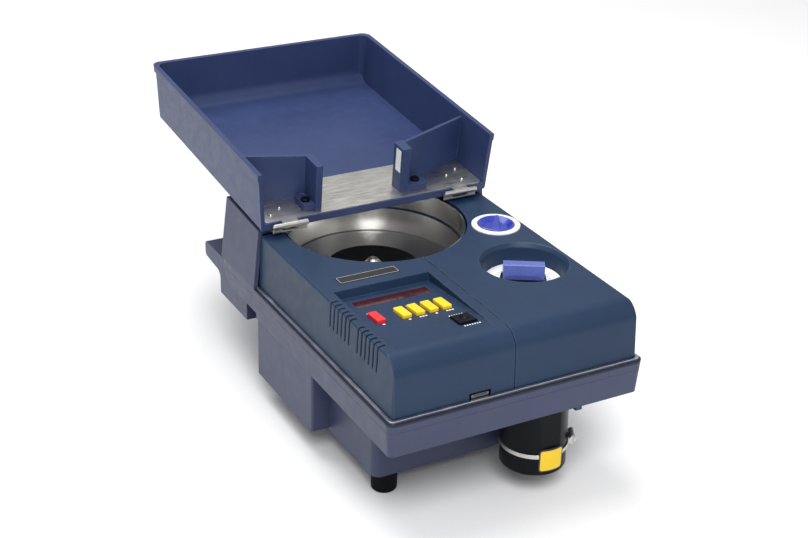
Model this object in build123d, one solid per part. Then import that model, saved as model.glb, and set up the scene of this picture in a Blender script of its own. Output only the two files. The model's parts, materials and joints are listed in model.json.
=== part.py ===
from build123d import *
import math
import os

# Desktop coin counting and sorting machine with a hinged feed hopper.
#
# Units are millimetres. While the pieces are made, X runs to the machine's right, Y runs back from
# the front face of the lip, and Z runs up from the table. Before export everything is shifted so
# that the origin is under the middle of the whole machine, on the table.

# ---- driving dimensions ----
LIP_W = 242.0            # width of the base over its lip
BODY_D = 335.0           # depth of the base, front of lip to rear wall
FLOOR_TO_LIP = 81.2      # underside of the lip
RIM_Z = 112.0            # top of the lip, where the covers sit
LIP_DRAFT = 4.5          # degrees
WALL = 3.0
HINGE_Y = 260.0          # plane where the covers end and the raised rear begins
REAR_FRONT_Z = 167.5     # top of the raised rear at its front edge
REAR_BACK_Z = 172.5      # top of the raised rear at its back edge
COVER_TOP = 163.5
COVER_X = 115.8          # half width of the covers at their lower edge
COVER_FRONT = 5.2
COVER_DRAFT = 2.8
SEAM_X = -4.0            # joint between the two covers
SEAM_GAP = 0.8
BODY_X = (-100.0, 87.0)  # lower body
BODY_Y = (62.0, 278.0)
BODY_Z = 21.0
BOX_X = (-118.0, -99.0)  # deep box on the left, below the lip
BOX_Y = (145.0, 260.0)
BOX_Z = 25.0
BOWL = (-8.0, 245.0)     # centre of the disc and its bowl
BOWL_R = 85.0
DISC_TOP = 118.0
DISC_R = 77.4
DIAL = (88.2, 190.0)     # thickness dial
DIAL_R = 22.2
WELL = (70.6, 114.2)     # well of the diameter knob
WELL_R = 36.5
WELL_FLOOR = 146.0
KNOB_ANGLE = -30.0       # the grip's direction at rest, in degrees from X
SPOUT = (35.2, 30.0)     # coin outlet's collar
SPOUT_R = 28.3
SPOUT_BORE = 25.4
SPOUT_Z = 22.0
CHUTE = (31.9, 32.5)     # top of the chute above the collar
CHUTE_R = 31.5
CHUTE_BORE = 26.5
CLAMP_ANGLE = -28.0      # where the band's screw sits, in degrees from X
PANEL_X = (-104.0, -14.0)  # recessed control panel
PANEL_Y = (25.0, 132.0)
PANEL_DEPTH = 8.5        # at the panel's rear edge; it runs out to nothing at the front
FOOT_R = 11.0
FEET = [(-83.0, 76.0), (70.0, 76.0), (-83.0, 262.0), (70.0, 262.0)]
MOTOR = (52.0, 165.0)
DISC_PULLEY_R = 26.0
MOTOR_PULLEY_R = 8.0
BELT_Z = (66.0, 74.0)
TILT = 4.7               # hopper floor at rest, in degrees
HOPPER_Y, HOPPER_Z = 254.6, 170.9
HOPPER_L, HOPPER_W, HOPPER_H = 256.0, 230.0, 54.7
HOPPER_DRAFT = 4.0
HOPPER_FLOOR = 5.0
FUNNEL_TOP = 50.0
COVE_R = 14.0            # where the hopper's floor meets its rear wall
AXIS_S, AXIS_H = -4.6, 3.2   # hinge axis, in the hopper's own frame
PIN_R = 1.25
KNUCKLE_R = 2.5
RUN = 0.05               # radial running clearance
BUTTON_PITCH = 12.4
PARTS = {}


def box(x, y, z):
    """A box from three (low, high) pairs."""
    size = [b - a for a, b in (x, y, z)]
    return Pos(*[(a + b) / 2 for a, b in (x, y, z)]) * Box(*size)


def rod(centre, z, radius):
    """A vertical cylinder between two heights."""
    return Pos(centre[0], centre[1], (z[0] + z[1]) / 2) * Cylinder(radius, z[1] - z[0])


def tube(centre, z, radius, bore):
    return rod(centre, z, radius) - rod(centre, (z[0] - 1, z[1] + 1), bore)


def rod_x(x, y, z, radius):
    """A cylinder along X."""
    middle = Pos((x[0] + x[1]) / 2, y, z)
    return middle * Rot(0, 90, 0) * Cylinder(radius, x[1] - x[0])


def rod_y(y, x, z, radius):
    """A cylinder along Y."""
    middle = Pos(x, (y[0] + y[1]) / 2, z)
    return middle * Rot(90, 0, 0) * Cylinder(radius, y[1] - y[0])


def block(x, y, z, radius, taper=0.0):
    """A box with rounded upright corners, drafted outwards by a negative taper."""
    face = RectangleRounded(x[1] - x[0], y[1] - y[0], radius)
    at = Pos((x[0] + x[1]) / 2, (y[0] + y[1]) / 2, z[0])
    return at * extrude(face, z[1] - z[0], taper=taper)


def prism_x(x, outline):
    """A solid with an outline in the YZ plane, drawn along X."""
    face = make_face(Polyline(*[(0, y, z) for y, z in outline], close=True))
    return Pos(x[0], 0, 0) * extrude(face, x[1] - x[0], dir=(1, 0, 0))


def prism_y(y, outline):
    """A solid with an outline in the XZ plane, drawn along Y."""
    face = make_face(Polyline(*[(x, 0, z) for x, z in outline], close=True))
    return Pos(0, y[0], 0) * extrude(face, y[1] - y[0], dir=(0, 1, 0))


def turned(centre, outline):
    """A solid of revolution about a vertical axis, from (radius, height) points."""
    face = make_face(Polyline(*[(r, 0, z) for r, z in outline], close=True))
    return Pos(centre[0], centre[1], 0) * revolve(face, Axis.Z)


def keep(name, shape):
    """Adds a finished piece under its own name."""
    PARTS[name] = shape


# ---- base ----

def raised_rear(inset, front, top_drop):
    """The raised rear block, or its hollow where inset is not zero."""
    foot, head = LIP_W / 2 - inset, LIP_W / 2 - 6.0 - inset
    back, back_top = BODY_D - inset, BODY_D - 2.0 - inset
    low_z = RIM_Z - (1 if inset else 0)
    slope = (REAR_BACK_Z - REAR_FRONT_Z) / (back_top - HINGE_Y)
    front_z = REAR_FRONT_Z - top_drop + (front - HINGE_Y) * slope
    back_z = REAR_BACK_Z - top_drop
    side_view = prism_x((-130, 130), [(front, low_z), (back, low_z), (back_top, back_z),
                                      (front, front_z)])
    front_view = prism_y((front, back), [(-foot, low_z), (foot, low_z), (head, REAR_BACK_Z),
                                         (-head, REAR_BACK_Z)])
    return side_view & front_view


def base_housing():
    lip_low = LIP_W / 2 - 2.5
    lip = block((-lip_low, lip_low), (2.5, BODY_D - 2.5), (FLOOR_TO_LIP, RIM_Z), 4.5, -LIP_DRAFT)
    shell = lip + raised_rear(0.0, HINGE_Y, 0.0)
    shell += block(BODY_X, BODY_Y, (BODY_Z, FLOOR_TO_LIP + 1), 8.0)
    shell += block(BOX_X, BOX_Y, (BOX_Z, FLOOR_TO_LIP + 1), 2.0)
    # hollows
    shell -= box((-114, 114), (6, BODY_D - 6), (FLOOR_TO_LIP + WALL, RIM_Z + 1))
    shell -= raised_rear(4.0, HINGE_Y - 5, WALL)
    shell -= box((BODY_X[0] + WALL, BODY_X[1] - WALL), (BODY_Y[0] + WALL, BODY_Y[1] - WALL),
                 (BODY_Z + WALL, FLOOR_TO_LIP + WALL + 1))
    shell -= box((BOX_X[0] + WALL, BOX_X[1] + 5), (BOX_Y[0] + WALL, BOX_Y[1] - WALL),
                 (BOX_Z + WALL, FLOOR_TO_LIP + WALL + 1))
    # the underside steps up behind the deep box, and its rear edge slopes forward
    shell -= box((-123, BODY_X[0] - 0.5), (BOX_Y[1], BODY_D + 5), (70, 87))
    shell -= box((-123, 123), (BODY_Y[1], BODY_D + 5), (70, 87))
    shell += box((-116, 116), (BODY_Y[1] - WALL, BODY_D - 16), (87, 90))
    shell -= prism_x((-125, 125), [(BODY_D + 3, 114), (BODY_D + 3, 80), (BODY_D - 18, 80),
                                   (BODY_D - 15, 87)])
    shell += prism_x((-115, 115), [(BODY_D - 18.5, 87), (BODY_D - 13.5, 87), (BODY_D - 1.0, 113),
                                   (BODY_D - 6, 113)])
    # small catch under the lip, beside the outlet
    shell += box((60.5, 66.5), (8.0, 15.0), (74.0, FLOOR_TO_LIP + 0.5))
    # openings
    shell -= rod(BOWL, (150, 200), BOWL_R)
    shell -= rod(CHUTE, (70, 90), CHUTE_BORE)
    for x in ((-105.3, -94.7), (78.7, 102.3)):
        shell -= box(x, (245, 285.3), (REAR_FRONT_Z - 0.5, 190))
    for x, y in FEET:
        shell -= rod((x, y), (BODY_Z - 1, BODY_Z + WALL + 1), 2.1)
    # posts that carry the chassis plate
    for post in ((-104, 20), (104, 20), (-106, 136), (104, 236)):
        shell += rod(post, (FLOOR_TO_LIP + WALL - 0.5, 104), 4.0)
    return shell


def rear_housing():
    """Rear block for the mains parts, with the lifting ledge across its back."""
    outline = [(292, 63.5), (355, 63.5), (355, 85), (375, 86.5), (392, 88), (392, 103), (336, 103),
               (336, 86.8), (292, 86.8)]
    half = 114.5
    shell = prism_x((-half, half), outline)
    along = shell.edges().filter_by(Axis.X)
    shell = fillet(along.filter_by_position(Axis.Y, 391, 393), 4.0)
    along = shell.edges().filter_by(Axis.X).filter_by_position(Axis.Y, 354, 356)
    shell = fillet(along.sort_by(Axis.Z)[-1:], 8.0)
    shell -= box((-half + WALL, half - WALL), (295, 352), (66.5, 84))
    shell -= box((46.5, 74.5), (350, 358), (68, 84))
    shell -= box((20, 34), (350, 356), (70, 82))
    shell -= rod_y((350, 356), 0, 76, 5.2)
    return shell


def trim_strip():
    """Silver strip round the foot of the covers, open at the back."""
    half = COVER_X + 0.4
    outer = block((-half - 2.4, half + 2.4), (2.6, 300), (RIM_Z, RIM_Z + 2.0), 4.0)
    inner = block((-half, half), (4.9, 300), (RIM_Z - 1, RIM_Z + 3.0), 2.5)
    return outer - inner - box((-130, 130), (HINGE_Y - 0.5, 310), (100, 130))


# ---- covers ----

def cover_blank(inset):
    """The outer form of both covers together; inset gives their hollow."""
    half, front = COVER_X - inset, COVER_FRONT + inset
    back = HINGE_Y + (5 if inset else 20)
    low = RIM_Z - (1 if inset else 0)
    height = COVER_TOP - inset - low
    form = block((-half, half), (front, back), (low, low + height), 1.5 if inset else 2.6, COVER_DRAFT)
    if not inset:
        form = fillet(form.faces().sort_by(Axis.Z)[-1].edges(), 2.0)
    # the front edge is rounded off much more than the sides
    lean = math.tan(math.radians(COVER_DRAFT))
    top = low + height
    side_view = make_face(Polyline((0, front + 0.2 - 10 * lean, low - 10),
                                   (0, front + 0.2 + height * lean, top),
                                   (0, back, top), (0, back, low - 10), close=True))
    corner = side_view.vertices().sort_by(Axis.Z)[-2:].sort_by(Axis.Y)[0]
    side_view = fillet(corner, 17.0 - inset)
    form &= Pos(-150, 0, 0) * extrude(side_view, 300, dir=(1, 0, 0))
    return form & box((-200, 200), (-10, HINGE_Y + (4 if inset else -0.5)), (90, 200))


def panel_wedge(offset=0.0):
    """Space of the sloping control panel, deepest at the back."""
    y0, y1 = PANEL_Y
    return prism_x((PANEL_X[0] - offset, PANEL_X[1] + offset),
                   [(y0 - 3, COVER_TOP + 0.24 - offset), (y1 + offset, COVER_TOP - PANEL_DEPTH - offset),
                    (y1 + 2 + offset, COVER_TOP + 3), (y0 - 3, COVER_TOP + 3)])


def panel_z(y):
    """Height of the control panel's surface."""
    return COVER_TOP - PANEL_DEPTH * (y - PANEL_Y[0]) / (PANEL_Y[1] - PANEL_Y[0])


def panel_place(x, y, z=0.0):
    """A place on the panel's slope."""
    slope = -math.degrees(math.atan(PANEL_DEPTH / (PANEL_Y[1] - PANEL_Y[0])))
    return Pos(x, y, panel_z(y) + z) * Rot(slope, 0, 0)


KEYS = {"reset_button": (-88.7, 84.5)}
KEYS.update({f"mode_key_{i + 1}": (-65.8 + i * BUTTON_PITCH, 83.0) for i in range(4)})
ROCKER = (-28.5, 48.5)
DISPLAY = (-57.5, 117.0)
VENT_Y = [35.5 + i * 6.7 for i in range(6)] + [84.0 + i * 6.8 for i in range(6)]


def vent_slots():
    """Slots that run up the left side and hook over its top edge."""
    cuts = None
    for y in VENT_Y:
        slot = box((-120, -108.5), (y - 1.3, y + 1.3), (141, COVER_TOP - 1.0))
        slot += box((-120, -106.5), (y - 1.3, y + 1.3), (COVER_TOP - 5, COVER_TOP + 3))
        cuts = slot if cuts is None else cuts + slot
    return cuts


def covers():
    """Both covers, cut apart at the seam."""
    solid = cover_blank(0.0)
    hollow = cover_blank(WALL)
    backing = panel_wedge(WALL) & box((-200, 200), (10, 200), (140, COVER_TOP - 1))
    shell = solid - (hollow - backing) - panel_wedge()
    shell -= vent_slots()
    shell -= rod(BOWL, (100, 200), BOWL_R)
    shell -= rod(DIAL, (150, 200), DIAL_R + 0.3)
    shell += turned(WELL, [(0, 143), (WELL_R + 1.5, 143), (WELL_R + 2.5, COVER_TOP - 2),
                           (0, COVER_TOP - 2)])
    shell += rod(DIAL, (155, COVER_TOP - 0.5), DIAL_R + 2.5) & box((0, 111), (100, 250), (100, 200))
    shell -= turned(WELL, [(0, WELL_FLOOR - 1), (WELL_R - 2.0, WELL_FLOOR - 1), (WELL_R, 160),
                           (WELL_R + 2.9, COVER_TOP), (WELL_R + 2.9, COVER_TOP + 2),
                           (0, COVER_TOP + 2)])
    shell -= rod(WELL, (140, 150), 4.3)
    shell -= rod(DIAL, (158, 170), DIAL_R + 0.3)
    shell -= rod(DIAL, (150, 160), 3.3)
    for x, y in KEYS.values():
        shell -= panel_place(x, y) * Box(9.0, 19.5, 30)
    shell -= panel_place(*ROCKER) * Box(17.1, 17.1, 30)
    shell -= panel_place(*DISPLAY) * Box(70.2, 13.4, 2.4)
    shell -= panel_place(*DISPLAY) * Box(62, 10, 30)
    shell -= box((-46.2, -25.8), (0, 12), (RIM_Z - 1, 119.3))
    shell -= box((-92, -35), (143.6, 155.9), (COVER_TOP - 0.6, COVER_TOP + 1))
    left = shell & box((-130, SEAM_X - SEAM_GAP / 2), (-10, 300), (90, 200))
    right = shell & box((SEAM_X + SEAM_GAP / 2, 130), (-10, 300), (90, 200))
    return left, right


def largest(shape):
    """The biggest solid, without crumbs that a cut leaves over."""
    return sorted(shape.solids(), key=lambda s: s.volume)[-1]


# ---- hopper, in its own frame until hopper_place moves it ----

def hopper_place(shape):
    return Pos(0, HOPPER_Y, HOPPER_Z) * Rot(TILT, 0, 0) * shape


def funnel_wall(start, end, thickness, height=(6.0, FUNNEL_TOP)):
    """An upright wall between two points of the hopper floor."""
    dx, dy = end[0] - start[0], end[1] - start[1]
    angle = math.degrees(math.atan2(dy, dx))
    middle = Pos((start[0] + end[0]) / 2, (start[1] + end[1]) / 2, (height[0] + height[1]) / 2)
    return middle * Rot(0, 0, angle) * Box(math.hypot(dx, dy), thickness, height[1] - height[0])


HOPPER_SCREWS = [(-64.8, 17.0), (47.5, 17.0)]


def hopper_tray():
    half = HOPPER_W / 2
    outer = block((-half, half), (-8, HOPPER_L), (0, HOPPER_H), 7.0, -HOPPER_DRAFT)
    grow = HOPPER_H * math.tan(math.radians(HOPPER_DRAFT))
    rim_low = HOPPER_H - 6.5
    grow_rim = rim_low * math.tan(math.radians(HOPPER_DRAFT)) + 0.8
    outer += block((-half - grow_rim, half + grow_rim), (-14, HOPPER_L + grow_rim),
                   (rim_low, HOPPER_H), 8.0, -HOPPER_DRAFT)
    inner = block((-half + 3.4, half - 3.4), (-30, HOPPER_L - 3.4), (HOPPER_FLOOR, HOPPER_H + 5),
                  5.0, -HOPPER_DRAFT)
    tray = outer - inner
    tray &= box((-half - grow - 5, half + grow + 5), (0, HOPPER_L + grow + 5), (-1, HOPPER_H + 1))
    # front fascia below the plate, and a cove where the floor meets the rear wall
    tray += box((-half + 0.5, half - 0.5), (0, 4), (-1.5, HOPPER_FLOOR))
    draft = math.radians(HOPPER_DRAFT)
    cove = HOPPER_L - 3.4 + COVE_R * math.tan(draft) - COVE_R / math.cos(draft)
    top = HOPPER_FLOOR + COVE_R
    corner = prism_x((-half + 2.5, half - 2.5), [(cove, HOPPER_FLOOR - 0.5),
                                                 (HOPPER_L - 1, HOPPER_FLOOR - 0.5),
                                                 (HOPPER_L, top), (cove, top)])
    tray += corner - rod_x((-half, half), cove, top, COVE_R)
    # funnel walls with posts at the gap, and a screwed tab in front of each
    tray += funnel_wall((-half - 10.2, 53.0), (-57.0, 29.5), 3.2) & outer
    tray += block((-60.0, -53.0), (5.0, 31.5), (6.0, FUNNEL_TOP), 2.8)
    tray += funnel_wall((half + 10.2, 57.3), (33.0, 22.0), 3.2) & outer
    tray += block((28.0, 37.5), (8.0, 27.0), (6.0, FUNNEL_TOP), 2.8)
    tray += block((-70.0, -56.0), (8.0, 30.0), (6.0, 12.0), 4.0)
    tray += block((34.0, 57.0), (8.0, 27.5), (6.0, 12.0), 4.0)
    for x, y in HOPPER_SCREWS:
        tray -= rod((x, y), (-3, 15), 2.1)
    return tray


def hopper_plate():
    plate = box((-111.2, 111.2), (1.0, 62.0), (HOPPER_FLOOR, HOPPER_FLOOR + 1.0))
    plate &= block((-111.2, 111.2), (1.0, 90.0), (0, 10), 4.0)
    for x, y in HOPPER_SCREWS:
        plate -= rod((x, y), (-3, 15), 2.1)
    return plate


def hopper_screws():
    group = []
    for x, y in HOPPER_SCREWS:
        head = rod((x, y), (12.0, 14.6), 4.2)
        head = fillet(head.edges().sort_by(Axis.Z)[-1:], 1.2)
        head -= Pos(x, y, 14.2) * Box(5.0, 1.0, 1.6) + Pos(x, y, 14.2) * Box(1.0, 5.0, 1.6)
        group.append(head + rod((x, y), (1.0, 12.0), 1.9))
    return group


def plate_rivets():
    """Rivet heads that hold the steel plate down beside the hinges."""
    group = []
    for x, y in ((-101, 12), (-88, 22), (-104, 30), (96, 12), (86, 24), (100, 32)):
        dome = Pos(x, y, HOPPER_FLOOR + 0.9) * Sphere(1.7)
        group.append(dome & box((x - 3, x + 3), (y - 3, y + 3), (HOPPER_FLOOR + 1.0, 20)))
    return group


GATE_PINS = [(76.5, 180.0), (76.5, 200.0)]
HINGES = {"left": ((-105.0, -96.2), (-96.0, -81.0), (-80.8, -72.0)),
          "right": ((69.0, 77.8), (78.0, 93.0), (93.2, 102.0))}


def axis_point():
    """Hinge axis in the machine's frame."""
    c, s = math.cos(math.radians(TILT)), math.sin(math.radians(TILT))
    return HOPPER_Y + AXIS_S * c - AXIS_H * s, HOPPER_Z + AXIS_S * s + AXIS_H * c


def hinge_parts(side):
    """Moving leaf, fixed bracket and pin of one hinge."""
    first, middle, last = HINGES[side]
    y, z = axis_point()
    leaf = rod_x(middle, AXIS_S, AXIS_H, KNUCKLE_R)
    leaf += box(middle, (AXIS_S, 0.9), (HOPPER_FLOOR + 0.1, HOPPER_FLOOR + 1.1))
    leaf -= rod_x((middle[0] - 1, middle[1] + 1), AXIS_S, AXIS_H, PIN_R + RUN)
    foot = (-105.0, -95.0) if side == "left" else (79.0, 102.0)
    deck = REAR_FRONT_Z - 0.5
    bracket = box((first[0], last[1]), (250.8, 253.2), (deck, deck + 1.6))
    bracket += box(foot, (253.0, 285.0), (deck, deck + 1.6))
    for span in (first, last):
        bracket += box(span, (y + 1.3, y + 3.0), (deck + 1.0, z - 0.6))
        bracket += rod_x(span, y, z, KNUCKLE_R)
    bracket -= rod_x((first[0] - 1, last[1] + 1), y, z, PIN_R + RUN)
    pin = rod_x((first[0] - 0.6, last[1] + 0.6), y, z, PIN_R)
    return hopper_place(leaf), bracket, pin


# ---- feed disc and its drive ----

def bowl_ring():
    return turned(BOWL, [(82.2, 161.5), (83.5, 161.5), (83.5, 141.0), (81.4, 139.5),
                         (79.4, 117.0), (83.6, 117.0), (83.6, 115.2), (78.0, 115.2),
                         (80.0, 140.5), (82.2, 142.0)])


def belt():
    loops = []
    for extra in (1.8, 0.3):
        circles = [Pos(*BOWL) * Circle(DISC_PULLEY_R - 2 + extra),
                   Pos(*MOTOR) * Circle(MOTOR_PULLEY_R - 2 + extra)]
        loops.append(make_hull(circles[0].edges() + circles[1].edges()))
    z0, z1 = BELT_Z[0] + 1.2, BELT_Z[1] - 1.2
    outer, inner = [Pos(0, 0, z0) * extrude(face, z1 - z0) for face in loops]
    return outer - inner


def pulley(centre, radius, bore):
    z0, z1 = BELT_Z
    return turned(centre, [(bore, z0), (radius, z0), (radius, z0 + 1), (radius - 2, z0 + 1),
                           (radius - 2, z1 - 1), (radius, z1 - 1), (radius, z1), (bore, z1)])


def chassis_plate():
    plate = box((-111, 111), (10, 256), (104.0, 106.0))
    plate -= rod(BOWL, (100, 110), 22.0)
    plate -= rod(CHUTE, (100, 110), CHUTE_BORE + 0.5)
    plate -= rod(WELL, (100, 110), 5.0)
    for pin in GATE_PINS:
        plate += rod(pin, (105.0, 131.0), 1.5)
    return plate


# ---- assemble ----

def make_base():
    keep("base_housing", base_housing())
    keep("rear_housing", rear_housing())
    keep("trim_strip", trim_strip())
    left, right = covers()
    keep("control_cover", largest(left))
    keep("mechanism_cover", largest(right))
    keep("display_window", panel_place(*DISPLAY) * Pos(0, 0, -0.7) * Box(70.0, 13.2, 0.9))
    badge = box((-91.8, -35.2), (143.8, 155.7), (COVER_TOP - 0.6, COVER_TOP + 0.3))
    keep("name_badge", fillet(badge.edges().filter_by(Axis.Z), 2.0))
    board = panel_place(-57.0, 76.0, -14.0) * Box(84.0, 96.0, 1.6)
    for place in [*KEYS.values(), ROCKER]:
        board += panel_place(*place, -10.4) * Box(6.0, 6.0, 6.0)
    keep("control_board", board)
    keep("display_module", panel_place(*DISPLAY, -9.5) * Box(66.0, 16.0, 7.0))
    keep("chassis_plate", chassis_plate())
    keep("bowl_ring", bowl_ring())
    outline = [(4.2, 0), (FOOT_R - 1.5, 0), (FOOT_R, 1.5), (FOOT_R + 0.6, BODY_Z),
               (2.2, BODY_Z), (2.2, 11.2), (4.2, 11.2)]
    keep("feet", [turned(foot, outline) for foot in FEET])
    keep("foot_screws", [rod(foot, (8.6, 30.0), 2.0) + rod(foot, (8.6, 11.2), 3.8) for foot in FEET])


def tapered(low, high):
    """A leaning cone between two circles, each given as (x, y, z, radius)."""
    circles = [Pos(*circle[:3]) * Circle(circle[3]) for circle in (low, high)]
    return loft(circles)


def make_outlet():
    top = FLOOR_TO_LIP - 0.2
    chute = tapered((SPOUT[0] - 0.5, SPOUT[1] + 0.2, 44, SPOUT_R + 0.6), (*CHUTE, top, CHUTE_R))
    chute -= tapered((*SPOUT, 44, SPOUT_BORE), (*CHUTE, top, CHUTE_BORE))
    keep("outlet_chute", chute & box((-20, 90), (2.7, BODY_Y[0] - 0.2), (40, 90)))
    collar = turned(SPOUT, [(SPOUT_BORE, SPOUT_Z), (SPOUT_R - 0.8, SPOUT_Z), (SPOUT_R, SPOUT_Z + 1.2),
                            (SPOUT_R, 44), (SPOUT_BORE, 44)])
    keep("outlet_collar", collar)
    turn = Pos(*SPOUT) * Rot(0, 0, CLAMP_ANGLE)
    band = tube(SPOUT, (39.5, 43.2), SPOUT_R + 1.2, SPOUT_R + 0.1)
    housing = box((28.9, 33.4), (-4.0, 4.0), (39.5, 46.0)) + rod_y((-6.0, 6.0), 32.2, 46.9, 2.9)
    housing -= rod_y((-7.0, 7.0), 32.2, 46.9, 1.9)
    keep("clamp_band", band + turn * housing)
    screw = rod_y((-6.3, 5.0), 32.2, 46.9, 1.85) + rod_y((-9.2, -6.2), 32.2, 46.9, 3.1)
    screw -= box((31.7, 32.7), (-10.0, -8.2), (43.0, 50.5))
    keep("clamp_screw", turn * screw)


def make_controls():
    for name, (x, y) in KEYS.items():
        cap = Box(8.3, 18.8, 6.0)
        cap = fillet(cap.edges().filter_by(Axis.Z), 1.2)
        cap = fillet(cap.faces().sort_by(Axis.Z)[-1].edges(), 0.8)
        cap = Pos(0, 0, -0.2) * cap + Pos(0, 0, -4.0) * Box(4.0, 4.0, 2.0)
        keep(name, panel_place(x, y) * cap)
    rocker = Box(16.4, 16.4, 5.0)
    rocker = fillet(rocker.faces().sort_by(Axis.Z)[-1].edges(), 0.8)
    rocker -= Pos(0, 0, 6.6) * Sphere(6.0)
    rocker += Pos(0, 0, -3.2) * Box(4.0, 4.0, 2.0)
    keep("start_stop_key", panel_place(*ROCKER, -0.6) * rocker)
    keep("latch_slider", box((-44.0, -28.0), (6.0, 11.5), (RIM_Z + 2.3, 117.3))
         - box((-42.0, -30.0), (5.0, 7.0), (RIM_Z + 4.0, RIM_Z + 4.8)))


def make_knobs():
    x, y = WELL
    scale = tube(WELL, (WELL_FLOOR - 1.0, WELL_FLOOR), WELL_R - 2.4, 4.5)
    keep("diameter_scale", scale)
    keep("knob_hub", turned(WELL, [(0, WELL_FLOOR + 0.4), (20.5, WELL_FLOOR + 0.4), (19.8, 149.6),
                                   (0, 149.6)]))
    profile = make_face(Polyline((0, -7.6, 0), (0, -7.6, 4.0), (0, -4.6, 12.7), (0, 4.6, 12.7),
                                 (0, 7.6, 4.0), (0, 7.6, 0), close=True))
    grip = Pos(-18.0, 0, 0) * extrude(profile, 36.0, dir=(1, 0, 0))
    grip = fillet(grip.edges().filter_by(Axis.X).sort_by(Axis.Z)[-2:], 1.2)
    grip = Pos(x, y, 149.6) * Rot(0, 0, KNOB_ANGLE) * grip
    keep("diameter_knob", grip)
    keep("knob_shaft", rod(WELL, (109.0, WELL_FLOOR + 0.4), 3.8) + rod(WELL, (109.5, 114.0), 7.0))
    ring = turned(DIAL, [(17.2, 158.2), (DIAL_R, 158.2), (DIAL_R, COVER_TOP + 0.9),
                         (DIAL_R - 0.9, COVER_TOP + 1.3), (17.2, COVER_TOP + 1.3)])
    keep("thickness_scale", ring)
    dish = turned(DIAL, [(0, 158.4), (16.6, 158.4), (16.6, COVER_TOP + 1.9),
                         (15.8, COVER_TOP + 2.4), (14.8, COVER_TOP + 1.9),
                         (10.0, COVER_TOP - 1.6), (0, COVER_TOP - 2.2)])
    outline = make_face(Polyline((-15.6, -3.4), (14.6, -1.2), (14.6, 1.2), (-15.6, 3.4), close=True))
    rib = Pos(0, 0, COVER_TOP - 0.2) * extrude(outline, 3.6)
    dish += Pos(DIAL[0], DIAL[1], 0) * Rot(0, 0, 55) * rib
    keep("thickness_dial", dish + rod(DIAL, (128.0, 159.0), 3.0) + rod(DIAL, (128.0, 132.0), 6.0))


def make_hopper():
    keep("hopper_tray", hopper_place(hopper_tray()))
    keep("hopper_plate", hopper_place(hopper_plate()))
    keep("hopper_screws", [hopper_place(s) for s in hopper_screws()])
    keep("plate_rivets", [hopper_place(s) for s in plate_rivets()])
    leaves, brackets, pins = zip(*[hinge_parts(side) for side in HINGES])
    keep("hinge_leaves", list(leaves))
    keep("hinge_brackets", list(brackets))
    keep("hinge_pins", list(pins))
    profile = [(0, 168.0), (6.0, 168.0), (5.2, 175.3), (0, 175.3)]
    pads = [turned((x, 318.0), profile) for x in (-101.0, 101.0)]
    keep("hopper_buffers", [pad - raised_rear(0.0, HINGE_Y, 0.0) for pad in pads])


def make_drive():
    keep("coin_disc", turned(BOWL, [(0, 115.4), (DISC_R, 115.4), (DISC_R, 117.2),
                                    (DISC_R - 1, DISC_TOP), (43.4, DISC_TOP),
                                    (43.4, DISC_TOP - 1.6), (0, DISC_TOP - 1.6)]))
    keep("disc_pad", turned(BOWL, [(10.2, DISC_TOP - 1.6), (43.2, DISC_TOP - 1.6), (43.2, DISC_TOP + 0.4),
                                   (10.2, DISC_TOP + 0.4)]))
    keep("disc_nut", turned(BOWL, [(0, DISC_TOP - 1.6), (10.0, DISC_TOP - 1.6), (10.0, DISC_TOP + 1.5),
                                   (4.0, DISC_TOP + 8.0), (0, DISC_TOP + 8.0)]))
    keep("disc_shaft", rod(BOWL, (60.0, 115.4), 4.0) + rod(BOWL, (112.4, 115.4), 15.0))
    keep("disc_pulley", pulley(BOWL, DISC_PULLEY_R, 4.02))
    keep("bearing_housing", tube(BOWL, (78.0, 103.9), 20.0, 11.0) + tube(BOWL, (106.1, 108.5), 28.0, 11.0)
         + tube(BOWL, (103.5, 106.5), 21.5, 11.0))
    keep("disc_bearings", [tube(BOWL, z, 10.95, 4.05) for z in ((79.0, 86.0), (100.0, 107.0))])
    keep("drive_motor", rod(MOTOR, (27.0, 61.5), 24.0) + rod(MOTOR, (61.4, 63.0), 8.0))
    keep("motor_bracket", box((22, 83.9), (140, 190), (76.5, 78.5))
         + box((81.4, 83.9), (140, 190), (30.0, 77.0)) - rod(MOTOR, (20, 61.6), 24.4))
    keep("motor_shaft", rod(MOTOR, (63.1, 75.5), 2.5))
    keep("motor_pulley", pulley(MOTOR, MOTOR_PULLEY_R, 2.52))
    keep("drive_belt", belt())


def make_counting():
    """Coin rail, thickness gate, sensor and brake below the right-hand cover."""
    keep("coin_track", box((15, 60), (62, 158), (107.0, 109.0)) - rod(BOWL, (100, 120), 93.0))
    keep("diameter_rail", box((58.0, 61.0), (70, 150), (109.3, 113.6))
         + box((56.0, 61.0), (80, 84), (109.3, 118.0))
         + box((56.0, 61.0), (140, 144), (109.3, 118.0)))
    gate = box((73.0, 80.0), (174, 206), (114.0, 126.0))
    for pin in GATE_PINS:
        gate -= rod(pin, (110, 130), 1.5 + RUN)
    keep("thickness_gate", gate)
    keep("coin_sensor", box((18, 32), (64, 84), (109.2, 124.0)))
    keep("brake_solenoid", box((18, 36), (90, 118), (112.0, 134.0)))


def make_mains():
    inlet = box((47.0, 74.0), (330, 356.6), (68.5, 83.5)) - box((50.5, 70.5), (340, 358), (71.5, 80.5))
    for x in (54.5, 60.5, 66.5):
        inlet += box((x - 1.0, x + 1.0), (339, 350), (74.0, 78.0))
    keep("mains_inlet", inlet)
    keep("fuse_holder", rod_y((335, 358.5), 0, 76, 5.0) + rod_y((357.0, 359.6), 0, 76, 6.5))
    keep("power_switch", prism_x((20.4, 33.6), [(348, 71.5), (355.2, 71.5), (357.4, 76),
                                                (356.4, 80.5), (348, 80.5)]))
    keep("power_supply", box((-90, -20), (300, 345), (67.5, 83.0)))


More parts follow.
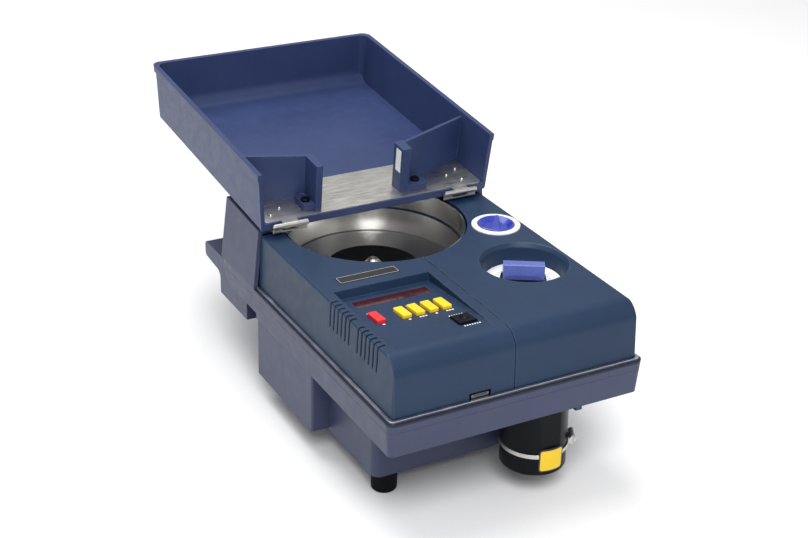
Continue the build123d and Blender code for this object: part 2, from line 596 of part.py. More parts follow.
def main():
    make_base()
    make_outlet()
    make_controls()
    make_knobs()
    make_hopper()
    make_drive()
    make_counting()
    make_mains()
    shapes = {}
    for name, shape in PARTS.items():
        solids = []
        for piece in (shape if isinstance(shape, list) else [shape]):
            solids.extend(piece.solids())
        shapes[name] = Compound(children=solids) if len(solids) > 1 else solids[0]
    solids = [solid for shape in shapes.values() for solid in shape.solids()]
    whole = Compound(children=solids).bounding_box()
    middle = whole.center()
    shift = Pos(-middle.X, -middle.Y, -whole.min.Z)
    print("shift", shift.position, "size", whole.size)
    os.makedirs("parts", exist_ok=True)
    for name, shape in shapes.items():
        export_step(shift * shape, os.path.join("parts", name + ".step"))


main()
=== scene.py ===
import bpy
import json
import math
from mathutils import Matrix, Vector


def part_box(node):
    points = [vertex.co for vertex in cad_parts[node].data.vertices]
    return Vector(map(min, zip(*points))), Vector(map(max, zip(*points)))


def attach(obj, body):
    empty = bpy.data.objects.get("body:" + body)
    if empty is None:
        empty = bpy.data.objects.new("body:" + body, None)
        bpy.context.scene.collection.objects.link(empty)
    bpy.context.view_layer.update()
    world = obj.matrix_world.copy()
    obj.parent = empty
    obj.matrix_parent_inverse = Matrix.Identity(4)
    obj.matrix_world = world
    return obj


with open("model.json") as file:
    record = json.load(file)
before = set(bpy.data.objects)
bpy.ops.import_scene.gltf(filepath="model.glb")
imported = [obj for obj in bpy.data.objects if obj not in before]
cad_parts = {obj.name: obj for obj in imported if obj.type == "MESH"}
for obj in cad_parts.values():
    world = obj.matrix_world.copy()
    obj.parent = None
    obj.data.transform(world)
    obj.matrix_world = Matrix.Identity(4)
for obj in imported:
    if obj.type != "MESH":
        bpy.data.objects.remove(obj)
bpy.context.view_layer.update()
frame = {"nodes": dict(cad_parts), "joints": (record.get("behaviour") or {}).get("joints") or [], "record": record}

# The looks of a desktop coin sorting machine: materials, printed marks, labels, light and camera.
# Lengths are in metres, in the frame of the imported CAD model.

MM = 0.001
RIGHT = Vector((1, 0, 0))
UP = Vector((0, 0, 1))

# ---- camera ----
CAMERA_AT = Vector((-0.6181, -1.1604, 0.7590))
CAMERA_AZIMUTH = -29.2       # degrees; 0 looks at the front, a minus sign is from the left
CAMERA_ELEVATION = 26.3
CAMERA_ROLL = 1.7
CAMERA_LENS = 70.2           # millimetres, on a sensor 36 mm wide
SENSOR_WIDTH = 36.0

# ---- studio ----
FLOOR_HALF = 8.0
WORLD_STRENGTH = 0.5
LAMPS_AIM_AT = Vector((0, 0, 0.12))
# name: (place, diameter, power in watts)
LAMPS = {
    "key": ((-0.65, -1.5, 1.9), 1.4, 39.0),
    "fill": ((1.5, -1.6, 1.2), 1.6, 3.0),
    "top": ((-0.1, 0.7, 2.1), 1.6, 34.0),
}

# ---- the base's lip, measured down from its top ----
GROOVE_DROP = 8.2 * MM
GROOVE_WIDTH = 0.9 * MM
RIM_DROP = 2.0 * MM          # the dark rim reaches this far down, and has faded out by RIM_END
RIM_END = 2.3 * MM

# ---- panel legends ----
MARK_THICKNESS = 0.09 * MM
KEY_PROUD = 2.8 * MM         # how far a key's top stands above the panel
ROCKER_PROUD = 1.9 * MM
LEGEND_LIFT = 0.08 * MM      # keeps the printing clear of the panel's surface
LEGEND_DROP = 12.4 * MM      # from a key's middle down the slope to the dashes below it
LEGEND_PITCH = 2.5 * MM
DOT_RISE = 12.0 * MM         # from a key's middle up the slope to the dot above it
# each key, with the half widths of the dashes below it
KEY_DASHES = {
    "reset_button": (1.0,),
    "mode_key_1": (1.0,),
    "mode_key_2": (0.9, 0.9, 0.9),
    "mode_key_3": (1.0,),
    "mode_key_4": (0.9, 0.9, 0.9),
}
DOTTED_KEYS = ("reset_button", "mode_key_2")
ROW_RISE = 11.2 * MM         # from the middle of the start key to the rows above and below it
ROW_PITCH = 2.3 * MM
# which side of the start key, dashes in the row, sideways shift in mm
START_KEY_ROWS = ((1, 6, -1.0), (-1, 7, 1.5))

# ---- labels ----
LABEL_HEADING = -91.0        # degrees round the outlet; -90 faces the front
LABEL_RISE = 15.4 * MM       # from the outlet's foot to the label's middle
LABEL_SIZE = (21.0 * MM, 19.0 * MM)
LABEL_CORNER = 1.8 * MM
BORDER_SIZE = (23.4 * MM, 21.4 * MM)
BORDER_CORNER = 2.8 * MM
BORDER_LIFT = 1.42 * MM      # clear of the clamp band that the label crosses
LABEL_LIFT = 1.50 * MM
BADGE_INSET = 1.0 * MM
BADGE_LINE = 0.16 * MM       # half the line's width
PLATE_X = -60 * MM
PLATE_HALF = (20 * MM, 6.5 * MM)
PLATE_CORNER = 1.2 * MM
PLATE_RECESS = 1.6 * MM      # the rear wall, measured in from the mains inlet's flange
PLATE_DROP = 1.5 * MM

# ---- strip on the hopper's post, from the hinge axis along the tilted tray ----
TRAY_TILT = 4.7              # degrees
STRIP_X = 27.9 * MM
STRIP_BACK = 20.1 * MM
STRIP_RISE = 33.0 * MM
STRIP_HALF = (4.6 * MM, 11.0 * MM)

# nodes that look different from their slot in the record
SPECIAL = {
    "bowl_ring": "bowl",
    "coin_disc": "disc",
    "disc_nut": "disc",
    "disc_shaft": "disc",
    "hopper_screws": "black_plastic",
    "thickness_dial": "dial",
    "latch_slider": "latch",
}


def srgb(red, green, blue):
    """A linear colour from 0 to 255 values."""
    def linear(value):
        value /= 255.0
        return value / 12.92 if value <= 0.04045 else ((value + 0.055) / 1.055) ** 2.4
    return linear(red), linear(green), linear(blue), 1.0


def shade(colour, factor):
    return tuple(min(1.0, c * factor) for c in colour[:3]) + (1.0,)


def lightened(colour, factor, added):
    """A colour scaled and raised towards white, for rubbed edges; on the moulded plastics it is partly a painted
    edge highlight.
    """
    return tuple(factor * c + added for c in colour[:3]) + (1.0,)


def centre_of(node):
    low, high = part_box(node)
    return (low + high) / 2


# ---- materials ----

class Paint:
    """A Principled material whose nodes are added one at a time."""

    def __init__(self, name):
        self.material = bpy.data.materials.new(name)
        self.material.use_nodes = True
        self.tree = self.material.node_tree
        self.shader = self.tree.nodes["Principled BSDF"]
        self.place = self.add("ShaderNodeTexCoord").outputs["Object"]

    def add(self, kind, options=None, **inputs):
        """A new node; an input is a plain value or another node's output."""
        node = self.tree.nodes.new(kind)
        for key, value in (options or {}).items():
            setattr(node, key, value)
        for key, value in inputs.items():
            self.feed(node.inputs[key.replace("_", " ")], value)
        return node

    def feed(self, socket, value):
        if isinstance(value, bpy.types.NodeSocket):
            self.tree.links.new(value, socket)
        else:
            socket.default_value = value

    def maths(self, operation, first, second=0.0, clamp=False):
        node = self.add("ShaderNodeMath", {"operation": operation, "use_clamp": clamp})
        self.feed(node.inputs[0], first)
        self.feed(node.inputs[1], second)
        return node.outputs[0]

    def spread(self, value, low, high, to_low, to_high):
        """Maps a value from one range to another, clamped."""
        node = self.add("ShaderNodeMapRange", Value=value)
        for name, number in zip(("From Min", "From Max", "To Min", "To Max"), (low, high, to_low, to_high)):
            node.inputs[name].default_value = number
        return node.outputs["Result"]

    def mix(self, factor, first, second):
        """Mixes two colours; sockets 0, 6 and 7 are the node's colour inputs, and output 2 its colour."""
        node = self.add("ShaderNodeMix", {"data_type": "RGBA"})
        for socket, value in zip((node.inputs[0], node.inputs[6], node.inputs[7]), (factor, first, second)):
            self.feed(socket, value)
        return node.outputs[2]

    def noise(self, scale, detail=3.0, roughness=0.55, stretch=None):
        place = self.place
        if stretch:
            place = self.add("ShaderNodeMapping", Vector=place, Scale=stretch).outputs[0]
        return self.add("ShaderNodeTexNoise", Vector=place, Scale=scale, Detail=detail,
                        Roughness=roughness).outputs["Fac"]

    def split(self):
        """The three coordinates of a point on the object."""
        return self.add("ShaderNodeSeparateXYZ", Vector=self.place).outputs

    def edges(self, radius, gain=1.0):
        """About 1 along edges and 0 on flat faces, with the rounded normal beside it."""
        rounded = self.add("ShaderNodeBevel", {"samples": 4}, Radius=radius).outputs["Normal"]
        straight = self.add("ShaderNodeNewGeometry").outputs["Normal"]
        dot = self.add("ShaderNodeVectorMath", {"operation": "DOT_PRODUCT"})
        self.feed(dot.inputs[0], rounded)
        self.feed(dot.inputs[1], straight)
        away = self.maths("SUBTRACT", 1.0, dot.outputs["Value"])
        return self.maths("MULTIPLY", self.spread(away, 0.02, 0.13, 0.0, 1.0), gain, clamp=True), rounded

    def bump(self, height, distance, normal=None, strength=1.0):
        node = self.add("ShaderNodeBump", Height=height, Distance=distance, Strength=strength)
        if normal is not None:
            self.feed(node.inputs["Normal"], normal)
        return node.outputs[0]

    def finish(self, colour, roughness, normal=None, **values):
        self.feed(self.shader.inputs["Base Color"], colour)
        self.feed(self.shader.inputs["Roughness"], roughness)
        if normal is not None:
            self.feed(self.shader.inputs["Normal"], normal)
        for key, value in values.items():
            self.feed(self.shader.inputs[key.replace("_", " ")], value)
        return self.material


def moulded_paint(name, colour, roughness, grain, depth, wear, radius, specular=0.28):
    """Injection-moulded plastic: spark-eroded grain, faint flow marks, dust, and edges lightened partly by rubbing
    and partly as a painted highlight.
    """
    paint = Paint(name)
    edge, rounded = paint.edges(radius * MM)
    broad = paint.noise(14.0, 4.0)
    cloudy = paint.noise(95.0, 5.0, 0.65)
    pebble = paint.noise(0.55 / (grain * MM), 2.0, 0.6)
    tone = paint.mix(paint.spread(broad, 0.3, 0.7, 0.0, 1.0), shade(colour, 0.90), shade(colour, 1.09))
    tone = paint.mix(paint.spread(cloudy, 0.52, 0.75, 0.0, 0.30), tone, shade(colour, 1.25))
    tone = paint.mix(paint.spread(pebble, 0.35, 0.65, 0.12, 0.0), tone, shade(colour, 0.7))
    # Lighter edges: partly rubbed wear, partly a painted highlight along rounded corners such as the cover's.
    rub_and_highlight = paint.maths("MULTIPLY", edge, paint.spread(cloudy, 0.35, 0.62, 0.25, wear))
    tone = paint.mix(rub_and_highlight, tone, lightened(colour, 1.2, 0.06))
    gloss = paint.spread(cloudy, 0.3, 0.7, roughness - 0.05, roughness + 0.07)
    gloss = paint.maths("SUBTRACT", gloss, paint.maths("MULTIPLY", edge, 0.10))
    normal = paint.bump(pebble, depth * MM, rounded, 0.35)
    normal = paint.bump(broad, 0.25 * MM, normal, 0.12)
    paint.shader.inputs["Specular IOR Level"].default_value = specular
    paint.finish(tone, gloss, normal)
    return paint


def moulded(name, colour, **values):
    return moulded_paint(name, colour, **values).material


def lipped(name, colour, rim_colour):
    """The base's plastic, with the parting groove round its lip, darkened with painted shade, and the dark rim
    below the trim.
    """
    paint = moulded_paint(name, colour, roughness=0.40, grain=0.28, depth=0.03, wear=0.55, radius=0.9)
    cover_low, cover_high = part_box("control_cover")
    plain_colour = paint.shader.inputs["Base Color"].links[0].from_socket
    plain_normal = paint.shader.inputs["Normal"].links[0].from_socket
    place = paint.split()
    off = paint.maths("ABSOLUTE", paint.maths("SUBTRACT", place["Z"], cover_low.z - GROOVE_DROP))
    groove = paint.spread(off, GROOVE_WIDTH * 0.35, GROOVE_WIDTH * 0.65, 1.0, 0.0)
    # The groove's darkening is painted shade inside the groove; its depth comes from the bump further down.
    tone = paint.mix(paint.maths("MULTIPLY", groove, 0.22), plain_colour, shade(colour, 0.35))
    near_top = paint.spread(place["Z"], cover_low.z - RIM_END, cover_low.z - RIM_DROP, 0.0, 1.0)
    before_hinge = paint.spread(place["Y"], cover_high.y, cover_high.y + 0.3 * MM, 1.0, 0.0)
    rim = paint.maths("MULTIPLY", near_top, before_hinge)
    raised = paint.maths("SUBTRACT", 1.0, groove)
    paint.feed(paint.shader.inputs["Base Color"], paint.mix(rim, tone, rim_colour))
    paint.feed(paint.shader.inputs["Normal"], paint.bump(raised, 0.4 * MM, plain_normal, 0.8))
    return paint.material


def brushed(name, colour, stretch, roughness, streaks=520.0, smear=0.5):
    """Sheet steel with straight brushing, handling smears and bright cut edges."""
    paint = Paint(name)
    edge, rounded = paint.edges(0.3 * MM)
    streak = paint.noise(streaks, 4.0, 0.7, stretch)
    broad_streak = paint.noise(streaks / 7.0, 3.0, 0.6, stretch)
    cloudy = paint.noise(42.0, 5.0, 0.6)
    tone = paint.mix(paint.spread(streak, 0.3, 0.7, 0.0, 1.0), shade(colour, 0.80), shade(colour, 1.12))
    tone = paint.mix(paint.spread(cloudy, 0.45, 0.75, 0.0, smear), tone, shade(colour, 0.62))
    tone = paint.mix(paint.maths("MULTIPLY", edge, 0.7), tone, shade(colour, 1.35))
    gloss = paint.maths("ADD", paint.spread(streak, 0.25, 0.75, roughness - 0.07, roughness + 0.10),
                        paint.spread(cloudy, 0.4, 0.7, 0.0, 0.10))
    normal = paint.bump(streak, 0.02 * MM, rounded, 0.5)
    normal = paint.bump(broad_streak, 0.05 * MM, normal, 0.3)
    return paint.finish(tone, gloss, normal, Metallic=1.0)


def turned_metal(name, colour, centre, roughness, rings=2600.0, wear=0.35, contrast=0.13):
    """Metal turned on a lathe: fine rings about an upright axis, stretched shine and coin scuffs."""
    paint = Paint(name)
    edge, rounded = paint.edges(0.4 * MM)
    place = paint.split()
    dx = paint.maths("SUBTRACT", place["X"], centre.x)
    dy = paint.maths("SUBTRACT", place["Y"], centre.y)
    squares = paint.maths("ADD", paint.maths("MULTIPLY", dx, dx), paint.maths("MULTIPLY", dy, dy))
    along = paint.add("ShaderNodeCombineXYZ", X=paint.maths("SQRT", squares), Y=place["Z"])
    ring = paint.add("ShaderNodeTexNoise", Vector=along.outputs[0], Scale=rings, Detail=3.0,
                     Roughness=0.7).outputs["Fac"]
    scuff = paint.noise(130.0, 6.0, 0.75)
    cloudy = paint.noise(26.0, 4.0, 0.6)
    dark, bright = shade(colour, 1.0 - contrast), shade(colour, 1.0 + contrast * 0.7)
    tone = paint.mix(paint.spread(ring, 0.3, 0.7, 0.0, 1.0), dark, bright)
    tone = paint.mix(paint.spread(scuff, 0.55, 0.72, 0.0, wear), tone, shade(colour, 0.55))
    tone = paint.mix(paint.maths("MULTIPLY", edge, 0.6), tone, shade(colour, 1.3))
    ring_gloss = paint.spread(ring, 0.25, 0.75, roughness - 0.3 * contrast, roughness + 0.5 * contrast)
    gloss = paint.maths("ADD", ring_gloss, paint.spread(cloudy, 0.4, 0.7, 0.0, 0.04))
    normal = paint.bump(ring, 0.1 * contrast * MM, rounded, 0.5)
    normal = paint.bump(scuff, 0.03 * MM * wear, normal, 0.25)
    around = paint.add("ShaderNodeTangent", {"direction_type": "RADIAL", "axis": "Z"}).outputs[0]
    paint.feed(paint.shader.inputs["Tangent"], around)
    paint.shader.inputs["Anisotropic"].default_value = 0.7
    paint.shader.inputs["Anisotropic Rotation"].default_value = 0.25
    return paint.finish(tone, gloss, normal, Metallic=1.0)


def zinc(name, colour, roughness):
    """Zinc plate with its crystalline mottle and dull patches."""
    paint = Paint(name)
    edge, rounded = paint.edges(0.4 * MM)
    cells = paint.add("ShaderNodeTexVoronoi", Vector=paint.place, Scale=320.0)
    mottle = paint.add("ShaderNodeRGBToBW", Color=cells.outputs["Color"]).outputs[0]
    cloudy = paint.noise(38.0, 5.0, 0.6)
    tone = paint.mix(mottle, shade(colour, 0.84), shade(colour, 1.10))
    tone = paint.mix(paint.spread(cloudy, 0.45, 0.75, 0.0, 0.45), tone, shade(colour, 0.62))
    tone = paint.mix(paint.maths("MULTIPLY", edge, 0.6), tone, shade(colour, 1.3))
    gloss = paint.spread(mottle, 0.1, 0.9, roughness - 0.06, roughness + 0.10)
    normal = paint.bump(cloudy, 0.06 * MM, rounded, 0.3)
    return paint.finish(tone, gloss, normal, Metallic=0.9)


def glossy(name, colour, roughness, wear, coat, radius):
    """Polished moulded plastic with fine wipe marks and rubbed edges."""
    paint = Paint(name)
    edge, rounded = paint.edges(radius * MM)
    wipes = paint.noise(210.0, 5.0, 0.7, (1.0, 0.18, 1.0))
    cloudy = paint.noise(70.0, 4.0)
    tone = paint.mix(paint.spread(cloudy, 0.3, 0.7, 0.0, 1.0), shade(colour, 0.92), shade(colour, 1.07))
    tone = paint.mix(paint.maths("MULTIPLY", edge, wear), tone, lightened(colour, 0.55, 0.42))
    gloss = paint.spread(wipes, 0.3, 0.7, roughness - 0.06, roughness + 0.12)
    normal = paint.bump(wipes, 0.02 * MM, rounded, 0.35)
    return paint.finish(tone, gloss, normal, Coat_Weight=coat)


def rubbery(name, colour, roughness=0.72):
    """Black rubber: bloom, fine pores and dusty edges."""
    paint = Paint(name)
    edge, rounded = paint.edges(0.6 * MM)
    pores = paint.noise(1300.0, 3.0, 0.7)
    bloom = paint.noise(60.0, 5.0, 0.6)
    tone = paint.mix(paint.spread(bloom, 0.42, 0.75, 0.0, 0.5), colour, lightened(colour, 1.0, 0.008))
    tone = paint.mix(paint.maths("MULTIPLY", edge, 0.35), tone, (0.03, 0.03, 0.033, 1.0))
    gloss = paint.spread(bloom, 0.3, 0.7, roughness - 0.10, roughness + 0.10)
    paint.shader.inputs["Specular IOR Level"].default_value = 0.08
    return paint.finish(tone, gloss, paint.bump(pores, 0.05 * MM, rounded, 0.5))


def printed(name, colour, roughness):
    """Printing ink or a paper label: slightly uneven cover and a soft sheen."""
    paint = Paint(name)
    patchy = paint.noise(900.0, 4.0, 0.7)
    broad = paint.noise(110.0, 3.0)
    tone = paint.mix(paint.spread(patchy, 0.35, 0.7, 0.0, 0.5), colour, shade(colour, 0.82))
    tone = paint.mix(paint.spread(broad, 0.45, 0.7, 0.0, 0.3), tone, shade(colour, 0.90))
    gloss = paint.spread(patchy, 0.3, 0.7, roughness - 0.08, roughness + 0.10)
    return paint.finish(tone, gloss, paint.bump(patchy, 0.01 * MM, None, 0.4))


def circuit_board(name, colour):
    """Solder-masked laminate with tracks below the mask."""
    paint = Paint(name)
    edge, rounded = paint.edges(0.2 * MM, 0.8)
    tracks = paint.add("ShaderNodeTexBrick", Vector=paint.place, Scale=90.0, Color1=(0, 0, 0, 1),
                       Color2=(1, 1, 1, 1))
    line = paint.add("ShaderNodeRGBToBW", Color=tracks.outputs["Color"]).outputs[0]
    cloudy = paint.noise(70.0, 3.0)
    tone = paint.mix(line, shade(colour, 0.8), shade(colour, 1.5))
    tone = paint.mix(paint.maths("MULTIPLY", edge, 0.5), tone, (0.35, 0.30, 0.16, 1.0))
    gloss = paint.spread(cloudy, 0.3, 0.7, 0.25, 0.42)
    return paint.finish(tone, gloss, paint.bump(line, 0.03 * MM, rounded, 0.4))


def plastics():
    """Housings and small plastic pieces; grain, depth and radius are in millimetres."""
    return {
        "housing": lipped("housing_plastic", srgb(60, 66, 92), rim_colour=srgb(22, 30, 52)),
        # The cover's high edge wear and wide edge radius also paint a highlight along its rounded corners.
        "cover": moulded("cover_plastic", srgb(26, 48, 76), roughness=0.44, grain=0.60, depth=0.09,
                         wear=0.85, radius=1.7, specular=0.30),
        "hopper": moulded("hopper_plastic", srgb(48, 61, 100), roughness=0.36, grain=0.28, depth=0.03,
                          wear=0.50, radius=1.0, specular=0.27),
        "black_plastic": moulded("black_plastic", srgb(12, 14, 18), roughness=0.32, grain=0.30, depth=0.03,
                                 wear=0.10, radius=0.5, specular=0.1),
        "window": glossy("display_window_plastic", srgb(62, 18, 20), roughness=0.12, wear=0.10, coat=0.5,
                         radius=0.3),
        "badge": glossy("badge_plate", srgb(16, 17, 20), roughness=0.30, wear=0.15, coat=0.1, radius=0.5),
        "knob": glossy("knob_plastic", srgb(82, 96, 172), roughness=0.26, wear=0.45, coat=0.2, radius=0.6),
        "dial": glossy("dial_plastic", srgb(40, 54, 158), roughness=0.26, wear=0.35, coat=0.2, radius=0.6),
        "yellow": glossy("key_yellow", srgb(240, 204, 20), roughness=0.34, wear=0.35, coat=0.1, radius=0.5),
        "red": glossy("key_red", srgb(222, 38, 46), roughness=0.34, wear=0.35, coat=0.1, radius=0.5),
        "rubber": rubbery("black_rubber", (0.004, 0.0045, 0.005, 1.0)),
        "board": circuit_board("circuit_board", (0.02, 0.09, 0.035, 1.0)),
    }


def metals():
    disc, pulley = centre_of("coin_disc"), centre_of("motor_pulley")
    return {
        "trim": brushed("trim_strip_metal", (0.62, 0.63, 0.66, 1.0), (0.1, 0.1, 2.0), roughness=0.30),
        "steel": brushed("sheet_steel", (0.62, 0.61, 0.58, 1.0), (0.05, 1.0, 1.0), roughness=0.30,
                         streaks=900.0, smear=0.25),
        "bowl": turned_metal("bowl_steel", (0.92, 0.91, 0.89, 1.0), disc, roughness=0.20, rings=1400.0,
                             wear=0.0, contrast=0.03),
        "disc": turned_metal("disc_steel", (0.74, 0.73, 0.70, 1.0), disc, roughness=0.34, wear=0.30,
                             contrast=0.08),
        "brass": turned_metal("brass", (0.70, 0.50, 0.22, 1.0), pulley, roughness=0.28, wear=0.3),
        "latch": zinc("latch_plate", (0.20, 0.21, 0.22, 1.0), roughness=0.42),
        "zinc": zinc("zinc_plate", (0.55, 0.56, 0.57, 1.0), roughness=0.36),
    }


def prints():
    return {
        "white": printed("scale_white", (0.86, 0.87, 0.88, 1.0), roughness=0.38),
        "ink": printed("white_ink", (0.80, 0.81, 0.83, 1.0), roughness=0.5),
        "dark_ink": printed("dark_ink", (0.03, 0.03, 0.035, 1.0), roughness=0.5),
        "label": printed("label_yellow", srgb(236, 196, 24), roughness=0.4),
        "plate": printed("rating_plate_silver", (0.50, 0.51, 0.53, 1.0), roughness=0.35),
    }


def paint_nodes(materials):
    """Gives each CAD node its slot's material."""
    for part in frame["record"]["subparts"]:
        node = frame["nodes"][part["node"]]
        material = materials[SPECIAL.get(part["node"], part["material_slot"])]
        for holder in node.material_slots:
            holder.link = "OBJECT"
            holder.material = material


# ---- printed marks and labels ----

def mesh_piece(name, vertices, faces, material, body):
    mesh = bpy.data.meshes.new(name)
    mesh.from_pydata([tuple(v) for v in vertices], [], faces)
    mesh.update()
    mesh.materials.append(material)
    piece = bpy.data.objects.new(name, mesh)
    bpy.context.collection.objects.link(piece)
    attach(piece, body)
    return piece


def marks(name, places, material, body):
    """Thin printed bars. Each place is (centre, half length along, half width across, normal)."""
    vertices, faces = [], []
    for centre, along, across, normal in places:
        start = len(vertices)
        for lift in (0.0, MARK_THICKNESS):
            for a, b in ((-1, -1), (1, -1), (1, 1), (-1, 1)):
                vertices.append(centre + along * a + across * b + normal * lift)
        for face in ((3, 2, 1, 0), (4, 5, 6, 7), (0, 1, 5, 4), (1, 2, 6, 5), (2, 3, 7, 6), (3, 0, 4, 7)):
            faces.append([start + corner for corner in face])
    return mesh_piece(name, vertices, faces, material, body)


def joint(name):
    return next(j for j in frame["joints"] if j["name"] == name)


def panel_frame():
    """The panel's normal and its uphill direction, from the way its keys are pressed."""
    normal = -Vector(joint("mode_key_1_press")["axis"]).normalized()
    return normal, normal.cross(RIGHT).normalized()


def panel_point(node, proud=KEY_PROUD):
    """The point just above the panel's surface under the middle of a key."""
    normal = panel_frame()[0]
    low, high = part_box(node)
    top = high.z - (high.y - low.y) / 2 * abs(normal.y)
    return Vector(((low.x + high.x) / 2, (low.y + high.y) / 2, top)) - normal * (proud - LEGEND_LIFT)


def panel_marks(materials):
    """Plain dashes where the panel's legends are printed."""
    normal, uphill = panel_frame()
    places = []
    for key, widths in KEY_DASHES.items():
        below = panel_point(key) - uphill * LEGEND_DROP
        for step, width in enumerate(widths):
            shift = (step - (len(widths) - 1) / 2) * LEGEND_PITCH
            places.append((below + RIGHT * shift, RIGHT * width * MM, uphill * 0.9 * MM, normal))
    for key in DOTTED_KEYS:
        dot = panel_point(key) + uphill * DOT_RISE - RIGHT * LEGEND_PITCH
        places.append((dot, RIGHT * 0.5 * MM, uphill * 1.0 * MM, normal))
    start_key = panel_point("start_stop_key", ROCKER_PROUD)
    for side, count, shift in START_KEY_ROWS:
        row = start_key + uphill * side * ROW_RISE
        for step in range(count):
            along = (step - (count - 1) / 2) * ROW_PITCH + shift * MM
            places.append((row + RIGHT * along, RIGHT * 0.62 * MM, uphill * 0.85 * MM, normal))
    return marks("panel_legends", places, materials["ink"], "base")


def scale_marks(name, node, inner, outer, angles, materials):
    """Tick marks on a round white scale; every fifth one is longer."""
    middle = centre_of(node)
    places = []
    for index, angle in enumerate(angles):
        direction = Vector((math.cos(math.radians(angle)), math.sin(math.radians(angle)), 0))
        reach = outer if index % 5 == 0 else inner + (outer - inner) * 0.55
        centre = middle + direction * (inner + reach) / 2
        centre.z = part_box(node)[1].z
        places.append((centre, direction * (reach - inner) / 2, UP.cross(direction) * 0.16 * MM, UP))
    return marks(name, places, materials["dark_ink"], "base")


def wrapped_label(name, node, rise, size, corner, lift, material):
    """A label with rounded corners round an upright cylinder, thick enough to bridge its band."""
    low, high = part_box(node)
    middle, inner = (low + high) / 2, (high.x - low.x) / 2
    width, height = size
    centre_z = low.z + rise
    columns = 36
    vertices, faces = [], []
    for step in range(columns + 1):
        along = width * (step / columns - 0.5)
        into_corner = max(0.0, abs(along) - (width / 2 - corner))
        half = height / 2 - corner + math.sqrt(max(0.0, corner ** 2 - into_corner ** 2))
        angle = math.radians(LABEL_HEADING) + along / (inner + lift)
        for radius, z in ((inner, centre_z - half), (inner + lift, centre_z - half),
                          (inner + lift, centre_z + half), (inner, centre_z + half)):
            x, y = middle.x + radius * math.cos(angle), middle.y + radius * math.sin(angle)
            vertices.append(Vector((x, y, z)))
        if step:
            now = 4 * step
            faces += [(now - 4 + i, now + i, now + (i + 1) % 4, now - 4 + (i + 1) % 4) for i in range(4)]
    faces += [(0, 1, 2, 3), tuple(4 * columns + i for i in (3, 2, 1, 0))]
    return mesh_piece(name, vertices, faces, material, "base")


def flat_label(name, centre, along, across, normal, corner, material):
    """A flat rounded label; along and across reach from its centre to its edges."""
    width, height = along.length, across.length
    outline = []
    for cx, cy, start in ((1, 1, 0), (-1, 1, 90), (-1, -1, 180), (1, -1, 270)):
        for step in range(7):
            angle = math.radians(start + 15 * step)
            x = cx * (width - corner) + corner * math.cos(angle)
            y = cy * (height - corner) + corner * math.sin(angle)
            outline.append(along.normalized() * x + across.normalized() * y)
    count = len(outline)
    vertices = [centre + point for point in outline]
    vertices += [centre + point + normal * MARK_THICKNESS * 2 for point in outline]
    faces = [tuple(range(count))[::-1], tuple(range(count, 2 * count))]
    faces += [(i, (i + 1) % count, count + (i + 1) % count, count + i) for i in range(count)]
    return mesh_piece(name, vertices, faces, material, "base")


def outlet_label(materials):
    """A blank yellow label with a dark border, across the outlet's band."""
    wrapped_label("outlet_label_border", "outlet_collar", LABEL_RISE, BORDER_SIZE, BORDER_CORNER,
                  BORDER_LIFT, materials["dark_ink"])
    wrapped_label("outlet_label_face", "outlet_collar", LABEL_RISE, LABEL_SIZE, LABEL_CORNER,
                  LABEL_LIFT, materials["label"])


def badge_border(materials):
    """The thin bright line round the blank badge."""
    low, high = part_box("name_badge")
    middle, half = (low + high) / 2, (high - low) / 2
    middle.z = high.z
    x, y = Vector((half.x - BADGE_INSET, 0, 0)), Vector((0, half.y - BADGE_INSET, 0))
    thin_x, thin_y = Vector((BADGE_LINE, 0, 0)), Vector((0, BADGE_LINE, 0))
    places = [(middle + y, x, thin_y, UP), (middle - y, x, thin_y, UP)]
    places += [(middle + x, thin_x, y, UP), (middle - x, thin_x, y, UP)]
    return marks("badge_border", places, materials["plate"], "base")


def rating_plate(materials):
    """A blank silver plate on the back, beside the mains parts."""
    low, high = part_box("mains_inlet")
    centre = Vector((PLATE_X, high.y - PLATE_RECESS, (low.z + high.z) / 2 - PLATE_DROP))
    return flat_label("rating_plate", centre, -RIGHT * PLATE_HALF[0], UP * PLATE_HALF[1], Vector((0, 1, 0)),
                      PLATE_CORNER, materials["plate"])


def gap_marker(materials):
    """The blank white strip on the post at the right of the hopper's gap."""
    axis = Vector(joint("hopper_tilt")["pos_m"])
    tilt = math.radians(TRAY_TILT)
    back, rise = Vector((0, math.cos(tilt), math.sin(tilt))), Vector((0, -math.sin(tilt), math.cos(tilt)))
    middle = Vector((STRIP_X, axis.y, axis.z)) + back * STRIP_BACK + rise * STRIP_RISE
    strip = (middle, back * STRIP_HALF[0], rise * STRIP_HALF[1], -RIGHT)
    return marks("gap_marker", [strip], materials["ink"], "hopper")


# ---- studio ----

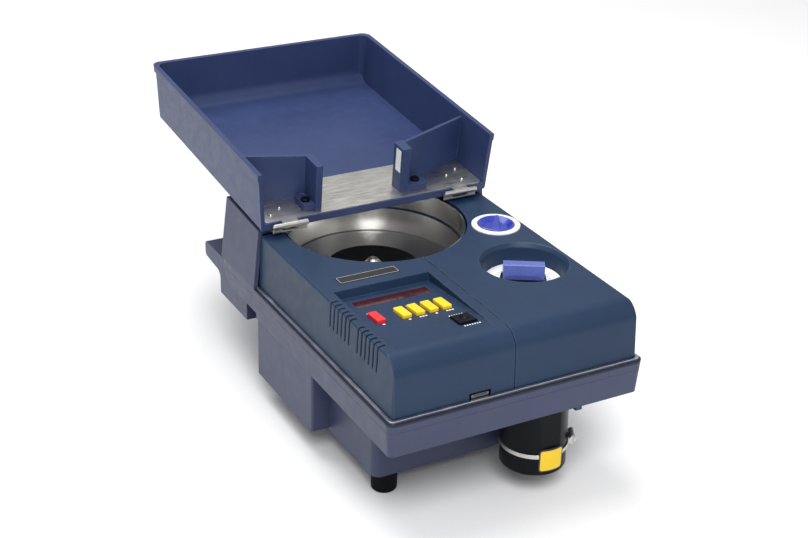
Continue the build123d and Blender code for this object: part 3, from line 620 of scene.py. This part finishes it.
def studio():
    """Pale floor and soft light from above, the left and the front."""
    scene = bpy.context.scene
    scene.view_settings.view_transform = "Standard"
    world = bpy.data.worlds.new("studio_world")
    world.use_nodes = True
    world.node_tree.nodes["Background"].inputs["Color"].default_value = (1.0, 1.0, 1.0, 1.0)
    world.node_tree.nodes["Background"].inputs["Strength"].default_value = WORLD_STRENGTH
    scene.world = world
    corners = [(x * FLOOR_HALF, y * FLOOR_HALF, 0) for x, y in ((-1, -1), (1, -1), (1, 1), (-1, 1))]
    floor_mesh = bpy.data.meshes.new("floor")
    floor_mesh.from_pydata(corners, [], [(0, 1, 2, 3)])
    floor = bpy.data.objects.new("floor", floor_mesh)
    scene.collection.objects.link(floor)
    paint = Paint("floor_paper")
    fibre = paint.spread(paint.noise(600.0, 3.0), 0.3, 0.7, 0.0, 1.0)
    tone = paint.mix(fibre, (0.86, 0.86, 0.87, 1.0), (0.90, 0.90, 0.90, 1.0))
    floor_mesh.materials.append(paint.finish(tone, 0.85))
    for name, (at, size, power) in LAMPS.items():
        lamp(name, at, size, power)


def lamp(name, at, size, power):
    """A round area lamp that faces the machine."""
    light = bpy.data.lights.new(name, "AREA")
    light.shape = "DISK"
    light.size = size
    light.energy = power
    holder = bpy.data.objects.new(name, light)
    bpy.context.scene.collection.objects.link(holder)
    holder.location = at
    holder.rotation_euler = (LAMPS_AIM_AT - Vector(at)).to_track_quat("-Z", "Y").to_euler()


def camera():
    """The camera, with its heading, height and roll as separate angles."""
    azimuth, elevation, roll = [math.radians(v) for v in (CAMERA_AZIMUTH, CAMERA_ELEVATION, CAMERA_ROLL)]
    back = Vector((math.sin(azimuth) * math.cos(elevation), -math.cos(azimuth) * math.cos(elevation),
                   math.sin(elevation)))
    right = (-back).cross(UP).normalized()
    up = right.cross(-back)
    turned_right = right * math.cos(roll) + up * math.sin(roll)
    turned_up = up * math.cos(roll) - right * math.sin(roll)
    lens = bpy.data.cameras.new("camera")
    lens.lens = CAMERA_LENS
    lens.sensor_width = SENSOR_WIDTH
    holder = bpy.data.objects.new("camera", lens)
    bpy.context.scene.collection.objects.link(holder)
    rotation = Matrix((turned_right, turned_up, back)).transposed().to_4x4()
    holder.matrix_world = Matrix.Translation(CAMERA_AT) @ rotation
    bpy.context.scene.camera = holder


def main():
    materials = {**plastics(), **metals(), **prints()}
    paint_nodes(materials)
    panel_marks(materials)
    scale_marks("diameter_ticks", "diameter_scale", 22.0 * MM, 28.0 * MM, range(-150, 151, 10), materials)
    scale_marks("thickness_ticks", "thickness_scale", 18.2 * MM, 20.6 * MM, range(-130, 231, 12), materials)
    outlet_label(materials)
    badge_border(materials)
    rating_plate(materials)
    gap_marker(materials)
    studio()
    camera()


main()
